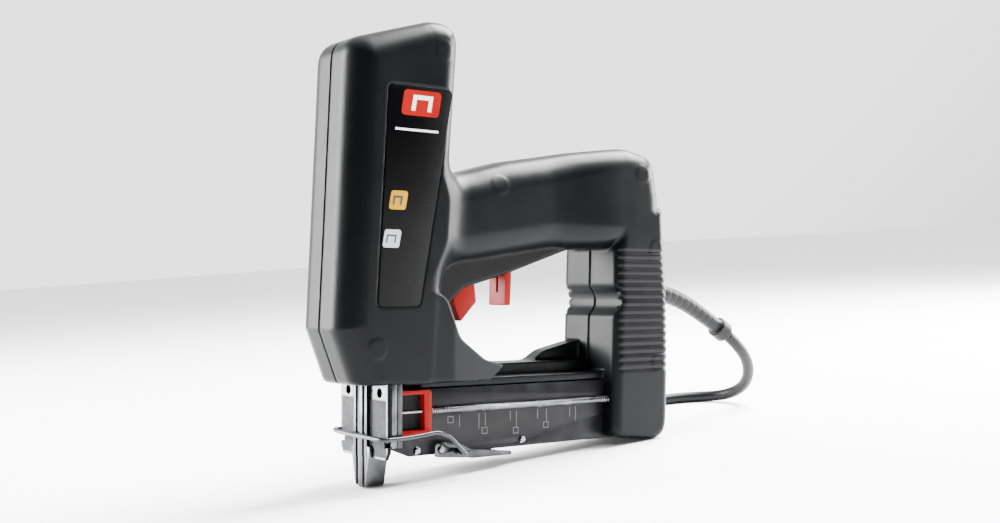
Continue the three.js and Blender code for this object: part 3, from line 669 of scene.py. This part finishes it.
def nose_plate_field(x, y, z):
    """The clamped front plate with a diamond knurl on both wings, bolt holes and side notches."""
    flat = outline_distance(y, z, [(-20, 14.5, 1), (-9.3, 14.5), (-9.3, 20.4), (9.3, 20.4), (9.3, 14.5),
                                   (20, 14.5, 1), (22.5, 18.5, 1), (22.5, 63), (-22.5, 63), (-22.5, 18.5, 1)])
    wings = np.clip((np.abs(y) - 6.9) / 0.4, 0, 1) * np.clip((21.2 - np.abs(y)) / 0.4, 0, 1)
    rows = np.clip((z - 15.5) / 0.4, 0, 1) * np.clip((43.2 - z) / 0.4, 0, 1)
    from_hole = np.hypot(np.abs(y) - PLATE_HOLE[0], z - PLATE_HOLE[1])
    around_hole = np.clip((from_hole - 3.4) / 0.5, 0, 1)
    knurl = np.minimum(tri_wave((y + z) / KNURL_PITCH), tri_wave((y - z) / KNURL_PITCH))
    front = PLATE_FRONT + KNURL_DEPTH * wings * rows * around_hole * (1 - np.clip(knurl * 1.6, 0, 1))
    plate = np.maximum(np.maximum(flat, front - x), x - PLATE_BACK)
    hole = from_hole - PLATE_BORE
    notch = np.maximum(np.maximum(20.6 - z, z - 23.2), 19.5 - np.abs(y))
    return np.maximum(plate, -np.minimum(hole, notch))


def paint_groove_shade(plate):
    """Marks how deep each point lies below the plate's face, so that the knurl's grooves get painted shade,
    darker with depth.
    """
    mesh = plate.data
    places = np.zeros(len(mesh.vertices) * 3)
    mesh.vertices.foreach_get("co", places)
    back = np.array(TO_ROW.inverted())
    depth = places.reshape(-1, 3) @ back[0, :3] + back[0, 3] - PLATE_FRONT
    marks = mesh.attributes.new("groove", "FLOAT", "POINT")
    marks.data.foreach_set("value", np.clip(depth / FULL_SHADE_DEPTH, 0, 1).astype(np.float32))


def knurled_steel_groove_shade():
    material, nodes, links, shader = new_material("knurled_steel_groove_shade")
    groove = nodes.new("ShaderNodeAttribute")
    groove.attribute_name = "groove"
    # painted shade: light steel on the knurl's crests, near black deep in its grooves
    stops = [(0.1, (0.1, 0.1, 0.105)), (0.8, (0.003, 0.003, 0.0035))]
    links.new(ramp(nodes, links, groove.outputs["Fac"], stops), shader.inputs["Base Color"])
    patches = noise(nodes, links, 400.0, 5.0)
    links.new(grey_ramp(nodes, links, patches, 0.2, 0.42), shader.inputs["Roughness"])
    shader.inputs["Metallic"].default_value = 1.0
    return material


def make_nose():
    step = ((0.3, 0.24, 0.24))
    plate = net_piece("nose_knurled_plate", nose_plate_field, ((1.4, 5.3), (-23.4, 23.4), (13.6, 64)), step,
                      knurled_steel_groove_shade(), "housing")
    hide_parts("nose_front_plate")
    paint_groove_shade(plate)
    refined("nose_spacer_left", NOSE_STEEL, 0.3)
    refined("nose_spacer_right", NOSE_STEEL, 0.3)
    refined("nose_block", DARK_STEEL, 0.3)
    refined("driver_channel", NOSE_STEEL, 0.25, 3)


make_nose()


# ---------------------------------------------------------------- magazine, pusher and latch
def flat_mark(name, outlines, level, depth, material, body="housing"):
    """Thin raised prints, etchings and a painted-shade sheet on the near side: each outline is XZ corners, seen
    on the plane Y = -level.
    """
    verts, faces = [], []
    for corners in outlines:
        ring = corner_outline(corners)
        if np.cross(ring[1] - ring[0], ring[2] - ring[1]) < 0:
            ring = ring[::-1]
        start, count = len(verts), len(ring)
        verts += [(x, -level, z) for x, z in ring] + [(x, -level + depth, z) for x, z in ring]
        faces.append(tuple(start + n for n in range(count)))
        faces.append(tuple(start + count + n for n in reversed(range(count))))
        for n in range(count):
            m = (n + 1) % count
            faces.append((start + n, start + count + n, start + count + m, start + m))
    return add_piece(name, verts, faces, material, body, smooth=False)


def helix(start, end, radius, turns, per_turn, waviness=0.0):
    """Points of a coil about X at the pusher spring's height."""
    points = []
    total = turns * per_turn
    for n in range(total + 1):
        along = n / total
        angle = 2 * math.pi * n / per_turn
        drift = waviness * math.sin(along * 9.0) * math.sin(along * math.pi)
        x = start + (end - start) * along
        points.append((x, SPRING_Y + radius * math.cos(angle), SPRING_Z + radius * math.sin(angle) + drift))
    return points


def make_pusher_spring():
    turns, per_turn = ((105, 12))
    verts, faces = tube_mesh(helix(30.9, 169.4, 1.62, turns, per_turn, 0.12), 0.3, 6)
    spring = add_piece("pusher_spring_coils", verts, faces, SPRING_STEEL, "housing")
    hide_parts("pusher_spring")
    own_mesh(spring)


WIRE_SIDE = [(46.2, 15.2), (43.6, 17.4), (39.5, 21.6), (35, 24.9), (29.5, 26.6), (23, 26.1),
             (14, 25.3), (5, 25.0)]


def make_latch_wire():
    """The bail that holds the nose plate: an arched arm each side and a bar across the front."""
    near = [(x, -24.3, z) for x, z in WIRE_SIDE]
    far = [(x - 0.06 * (46 - x), 24.3, z + 0.03 * (46 - x)) for x, z in reversed(WIRE_SIDE)]
    route = [(48.2, -14.2, 15.2), (48.2, -19, 15.2), (48, -22.6, 15.2)] + near
    route += [(1.6, -24.1, 24.9), (-0.3, -23.2, 24.9), (-1.3, -20.8, 24.95), (-1.35, -12, 25.1)]
    route += [(-1.35, 12, 25.3), (-1.4, 19, 25.5), (-1.2, 22.2, 25.8), (0.2, 24, 26)] + far
    route += [(48, 22.6, 15.2), (48.2, 19, 15.2), (48.2, 14.2, 15.2)]
    path = smooth_path(route, 0.9)
    verts, faces = tube_mesh(path, 1.1, 12)
    wire = add_piece("latch_wire_bail", verts, faces, WIRE_STEEL, "latch_wire")
    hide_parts("latch_wire")


TICK_TOP = 33.2
TICK_WIDTH = 0.45
TICKS = ((50, 6.0), (62, 8.0), (66, 6.5), (82, 5.0), (86, 9.0), (100, 5.0), (106, 7.5), (122, 5.0),
         (126, 7.5))
FRAME_CORNERS = ((43, 29.4), (64, 22.6), (84, 21.4), (104, 23.0))
FRAME_SIDES = ((0, 0, 3.6, 0.4), (0, 3.0, 3.6, 3.4), (0, 0.4, 0.4, 3.0), (3.2, 0.4, 3.6, 3.0))


def magazine_marks():
    """Etched position ticks and small outline frames along the magazine's near side, without figures."""
    outlines = []
    for x, length in TICKS:
        low = TICK_TOP - length
        outlines.append([(x, low), (x + TICK_WIDTH, low), (x + TICK_WIDTH, TICK_TOP), (x, TICK_TOP)])
    for x, z in FRAME_CORNERS:
        for u0, v0, u1, v1 in FRAME_SIDES:
            outlines.append([(x + u0, z + v0), (x + u1, z + v0), (x + u1, z + v1), (x + u0, z + v1)])
    return flat_mark("magazine_etching", outlines, 13.06, 0.1, ETCHED)


def pusher_shade_sheet():
    """A dark sheet on the back of the pusher's hollow: painted shade for the hollow."""
    outline = [(13.4, 27.9, 0.5), (25.5, 27.9, 0.5), (25.5, 44.8, 0.5), (13.4, 44.8, 0.5)]
    return flat_mark("pusher_hollow_shade", [outline], 14.75, 0.3, GRAINED_SHADE, "pusher")


def make_magazine():
    refined("magazine_left_plate", BLACK_STEEL, 0.25)
    refined("magazine_right_plate", BLACK_STEEL, 0.25)
    refined("magazine_end_block", BLACK_STEEL, 0.4)
    refined("staple_rail", DARK_STEEL, 0.3)
    refined("magazine_pin_1", STEEL, 0.3)
    refined("magazine_pin_2", STEEL, 0.3)
    refined("guide_rod", SPRING_STEEL, 0.1, 1)
    refined("pusher_grip", RED, 0.45, 3, "pusher")
    refined("pusher_carriage", DARK_STEEL, 0.3, 2, "pusher")
    refined("latch_lever", WIRE_STEEL, 0.25, 3, "latch_lever")
    refined("latch_pivot", STEEL, 0.4, 3, "housing")
    make_pusher_spring()
    make_latch_wire()
    magazine_marks()
    pusher_shade_sheet()


make_magazine()


# ---------------------------------------------------------------- trigger group, screws and inner works
def make_works():
    refined("trigger", RED, 0.5, 3, "trigger")
    refined("trigger_lock", RED, 0.6, 3, "lock_button")
    refined("trigger_pin", STEEL, 0.3)
    refined("trigger_switch", RUBBER, 0.5, 2)
    for number in range(1, 7):
        refined(f"housing_screw_{number}", DARK_STEEL, 0.2, 2)
    refined("solenoid_yoke", DARK_STEEL, 0.6, 2)
    refined("coil_bobbin", NYLON, 0.2, 2)
    refined("coil_winding", COPPER, 0.4, 2)
    refined("driver_bumper", RUBBER, 0.6, 2)
    refined("circuit_board", BOARD, 0.25, 2)
    refined("cable_clamp", STEEL, 0.3, 2)
    refined("clamp_screw_1", DARK_STEEL, 0.2, 2)
    refined("clamp_screw_2", DARK_STEEL, 0.2, 2)
    refined("plunger", STEEL, 0.5, 2, "driver")
    refined("driver_pin", STEEL, 0.2, 2, "driver")
    refined("driver_blade", STEEL, 0.15, 1, "driver")


make_works()


def upright_spring(node, centre, span, radius, wire, turns):
    """A coil about the tool's Z."""
    x, y = centre
    points = []
    for n in range(turns * 18 + 1):
        angle = 2 * math.pi * n / 18
        z = span[0] + wire + (span[1] - span[0] - 2 * wire) * n / (turns * 18)
        points.append((x + radius * math.cos(angle), y + radius * math.sin(angle), z))
    verts, faces = tube_mesh(points, wire, 8)
    spring = add_piece(node + "_coils", verts, faces, SPRING_STEEL, "housing")
    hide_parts(node)
    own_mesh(spring)


upright_spring("return_spring", (6.2, 0), (142.3, 205.7), 10.2, 0.65, 9)
upright_spring("trigger_spring", (99.5, 0), (121.4, 131.6), 2.4, 0.35, 5)
upright_spring("lock_spring", (58, 0), (106.4, 116.5), 2.6, 0.35, 5)


# ---------------------------------------------------------------- label and its generic marks
def tilted_square(x, z, width, height, radius, lean=0.187):
    """A rounded parallelogram whose upright sides follow the label's slope."""
    return [(x, z, radius), (x + width, z, radius), (x + width + lean * height, z + height, radius),
            (x + lean * height, z + height, radius)]


def staple_shape(x, z, width, height, bar, lean=0.187):
    """A staple outline, open below."""
    def at(u, v):
        return (x + u + lean * v, z + v)
    return [at(0, 0), at(bar, 0), at(bar, height - bar), at(width - bar, height - bar), at(width - bar, 0),
            at(width, 0), at(width, height), at(0, height)]


PRINT_LEVEL = 24.06
UPPER_PRINT = 24.12


def make_label():
    refined("side_label", LABEL_FACE, 0.12, 2)
    flat_mark("label_badge", [tilted_square(8.6, 179.6, 21.5, 12.4, 2.4)], PRINT_LEVEL, 0.12, PRINT_RED)
    flat_mark("label_badge_staple", [staple_shape(14.6, 182, 11.2, 7.6, 2.1)], UPPER_PRINT, 0.1, PRINT_WHITE)
    flat_mark("label_rule", [tilted_square(5.5, 172.2, 24.5, 1.0, 0.3)], PRINT_LEVEL, 0.1, PRINT_WHITE)
    flat_mark("label_patch_yellow", [tilted_square(1.9, 134.2, 9.4, 9.0, 1.6)],
              PRINT_LEVEL, 0.12, PRINT_YELLOW)
    flat_mark("label_patch_grey", [tilted_square(-1.6, 116.0, 9.2, 8.6, 1.6)], PRINT_LEVEL, 0.12, PRINT_GREY)
    staples = [staple_shape(4.0, 136.4, 5.2, 4.4, 1.1), staple_shape(0.3, 118.2, 5.4, 4.0, 0.8)]
    flat_mark("label_patch_shapes", staples, UPPER_PRINT, 0.1, PRINT_DARK)


make_label()


# ---------------------------------------------------------------- strain relief, tie and plug
RELIEF = [(179.5, 0, 94.5), (193, 0, 94.5), (207, 0, 93.2), (222, 0, 88.2), (239, 0, 79.8), (256, 0, 70)]


def make_relief():
    """A tapered sleeve with bend grooves and a collar, moulded on the lead."""
    path = smooth_path(RELIEF, 0.45)
    run = np.concatenate([[0], np.cumsum(np.linalg.norm(np.diff(path, axis=0), axis=1))])
    total = run[-1]
    radii = 5.1 - 0.75 * np.clip((run - 12) / (total - 24), 0, 1)
    phase = np.mod(run - 16, 5.2)
    groove = np.clip(1 - np.abs(phase - 1.1) / 1.1, 0, 1)
    inside = (run > 16) & (run < total - 14)
    radii = radii - np.where(inside, 0.12 * groove * groove * (3 - 2 * groove), 0)
    collar = np.clip((run - (total - 9.5)) / 1.2, 0, 1) * np.clip((total + 0.3 - run) / 1.0, 0, 1)
    radii = radii + (6.2 - radii) * collar * collar * (3 - 2 * collar)
    verts, faces = tube_mesh(path, radii, 28)
    relief = add_piece("strain_relief_sleeve", verts, faces, RUBBER, "housing")
    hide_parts("strain_relief")
    return relief


def plug_field(x, y, z):
    """A flat two-pin plug body with finger grooves on both faces and a short neck."""
    x = x - PLUG_X
    side = outline_distance(x, y - PLUG_Y, [(-0.1, -6, 2), (8, -6.4, 6), (20, -17.6, 6), (36, -17.6, 3.4),
                                             (36, 17.6, 3.4), (20, 17.6, 6), (8, 6.4, 6), (-0.1, 6, 2)])
    ridges = np.clip(np.cos((x - 24) * 2 * math.pi / 3.1), -0.4, 1)
    waves = 0.45 * ridges * np.clip((5 - np.abs(x - 25)) / 1.2, 0, 1)
    return thick(side, z - PLUG_Z, 6.8 - waves * (np.abs(y - PLUG_Y) < 14), 3.2)


def make_plug():
    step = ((0.7, 0.7, 0.7))
    place = (PLUG_X - 2, PLUG_X + 38), (PLUG_Y - 19, PLUG_Y + 19), (-0.8, 14.8)
    axes = [np.arange(low, high + gap * 0.5, gap) for (low, high), gap in zip(place, step)]
    field = plug_field(axes[0][:, None, None], axes[1][None, :, None], axes[2][None, None, :])
    points, quads, _ = surface_net(field, [axis[0] for axis in axes], step)
    plug = add_piece("plug_moulding", points.tolist(), quads.tolist(), RUBBER,
                     "housing", row=True)
    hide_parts("plug_body")
    pins = [refined(f"plug_pin_{n}", STEEL, 0.5, 3, "housing") for n in (1, 2)]
    return [plug] + pins


def make_tie():
    return refined("coil_tie", TIE, 0.35, 2, "housing")


relief = make_relief()
cord_parts = [relief, make_tie()] + make_plug()


# ---------------------------------------------------------------- floor, light and finish
def make_floor():
    mesh = bpy.data.meshes.new("floor")
    half = 6.0
    corners = [(-half, -half, 0), (half, -half, 0), (half, half, 0), (-half, half, 0)]
    mesh.from_pydata(corners, [], [(0, 1, 2, 3)])
    mesh.materials.append(floor_material())
    floor = bpy.data.objects.new("floor", mesh)
    bpy.context.scene.collection.objects.link(floor)


def soft_light(name, place, target, size, power):
    data = bpy.data.lights.new(name, "AREA")
    data.shape = "RECTANGLE"
    data.size, data.size_y = size
    data.energy = power
    light = bpy.data.objects.new(name, data)
    direction = Vector(target) - Vector(place)
    light.matrix_world = Matrix.Translation(place) @ direction.to_track_quat("-Z", "Y").to_matrix().to_4x4()
    bpy.context.scene.collection.objects.link(light)


def overhead_glow():
    data = bpy.data.lights.new("overhead", "SUN")
    data.energy = 3.2
    data.angle = 1.3
    light = bpy.data.objects.new("overhead", data)
    light.matrix_world = Matrix.Rotation(math.radians(12), 4, "X")
    bpy.context.scene.collection.objects.link(light)


def make_world():
    world = bpy.data.worlds.new("studio")
    world.use_nodes = True
    nodes, links = world.node_tree.nodes, world.node_tree.links
    coords = nodes.new("ShaderNodeTexCoord")
    facing = nodes.new("ShaderNodeVectorMath")
    facing.operation = "DOT_PRODUCT"
    facing.inputs[1].default_value = (0.25, 0.79, 0.56)
    spread = nodes.new("ShaderNodeMapRange")
    spread.inputs["From Min"].default_value = -1.0
    links.new(coords.outputs["Generated"], facing.inputs[0])
    links.new(facing.outputs["Value"], spread.inputs["Value"])
    stops = [(0.2, (0.01,) * 3), (0.5, (0.06,) * 3), (0.72, (0.6,) * 3), (0.86, (2.6,) * 3)]
    links.new(ramp(nodes, links, spread.outputs["Result"], stops), nodes["Background"].inputs["Color"])
    bpy.context.scene.world = world


make_floor()
make_world()
overhead_glow()
soft_light("left_rear", (-0.85, 0.85, 0.35), (0, 0, 0.12), (0.6, 1.0), 110)
soft_light("upper_right", (0.72, -0.02, 1.0), (0.05, 0, 0.15), (0.75, 0.75), 170)
soft_light("rear_side", (1.25, -0.12, 0.3), (0.05, 0, 0.12), (0.7, 0.6), 60)
